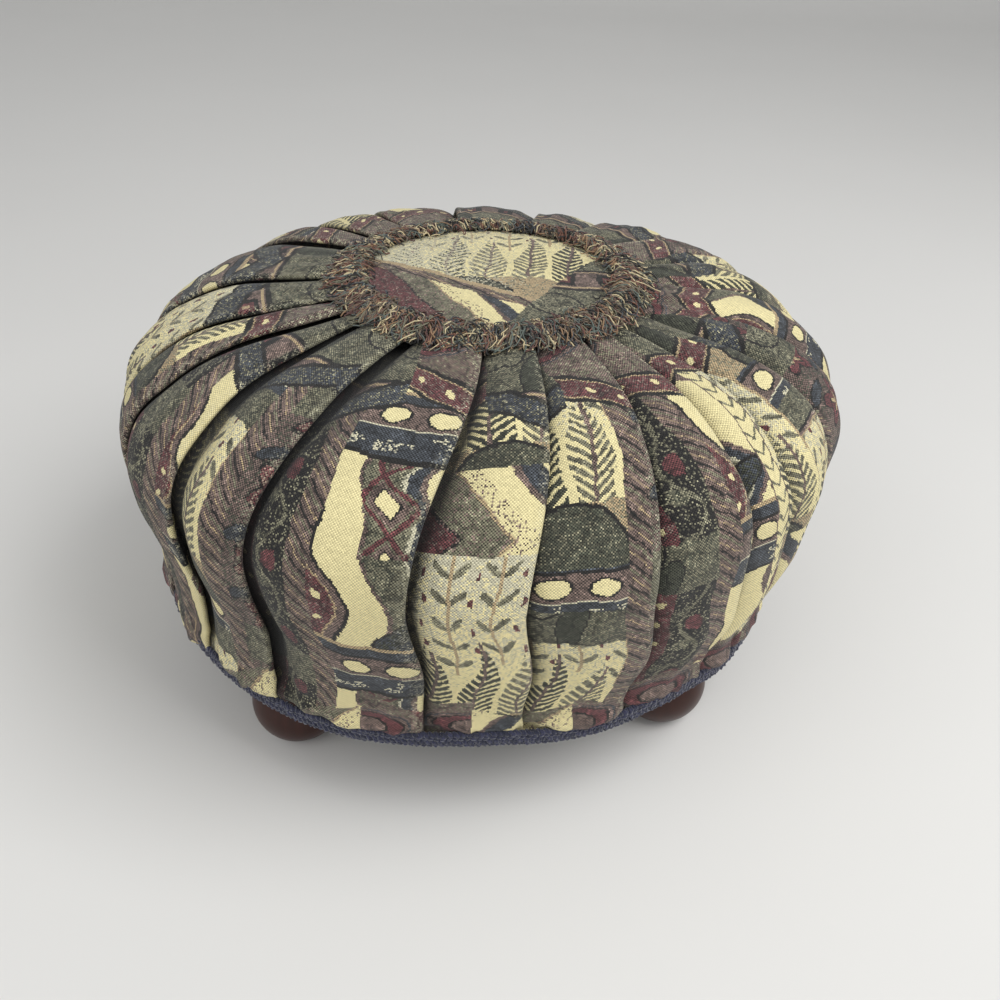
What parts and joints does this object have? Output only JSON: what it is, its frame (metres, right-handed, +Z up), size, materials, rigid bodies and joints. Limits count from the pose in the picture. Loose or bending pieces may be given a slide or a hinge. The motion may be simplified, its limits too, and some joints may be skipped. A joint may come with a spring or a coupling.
{
  "type": "footstool",
  "caption": "Round padded footstool with a knife-pleated tapestry cover, a fringed centre panel, a braided hem and turned bun feet.",
  "frame": {"origin": "on the floor, under the middle of the drum", "axes": "+Z up; -Y towards the side that the picture shows from the front; +X to its right"},
  "size_m": [0.4001, 0.4006, 0.2389],
  "materials": {
    "tapestry": "heavy woven tapestry cloth, cream, olive, slate and burgundy",
    "panel_tapestry": "heavy woven tapestry cloth, mostly cream and olive",
    "fringe_yarn": "mixed rust, teal, cream, olive and burgundy threads",
    "header_tape": "narrow woven tape",
    "braid_yarn": "plaited navy yarn with a soft nap",
    "cambric": "black non-woven cloth",
    "wadding": "white polyester wadding",
    "foam": "upholstery foam",
    "plywood": "plain plywood",
    "foot_wood": "turned hardwood, red-brown stain under gloss lacquer",
    "zinc_steel": "zinc-plated steel",
    "staple_steel": "galvanised steel wire"
  },
  "bodies": {
    "root": {"pleated_cover": "tapestry", "centre_panel": "panel_tapestry", "fringe": "fringe_yarn", "fringe_header": "header_tape", "hem_braid": "braid_yarn", "dust_cover": "cambric", "wadding_wrap": "wadding", "panel_pad": "wadding", "foam_core": "foam", "base_board": "plywood", "cover_staples": "staple_steel", "dust_cover_staples": "staple_steel", "foot_front_right": "foot_wood", "hanger_bolt_front_right": "zinc_steel", "t_nut_front_right": "zinc_steel", "foot_back_right": "foot_wood", "hanger_bolt_back_right": "zinc_steel", "t_nut_back_right": "zinc_steel", "foot_back_left": "foot_wood", "hanger_bolt_back_left": "zinc_steel", "t_nut_back_left": "zinc_steel", "foot_front_left": "foot_wood", "hanger_bolt_front_left": "zinc_steel", "t_nut_front_left": "zinc_steel"}
  },
  "joints": []
}
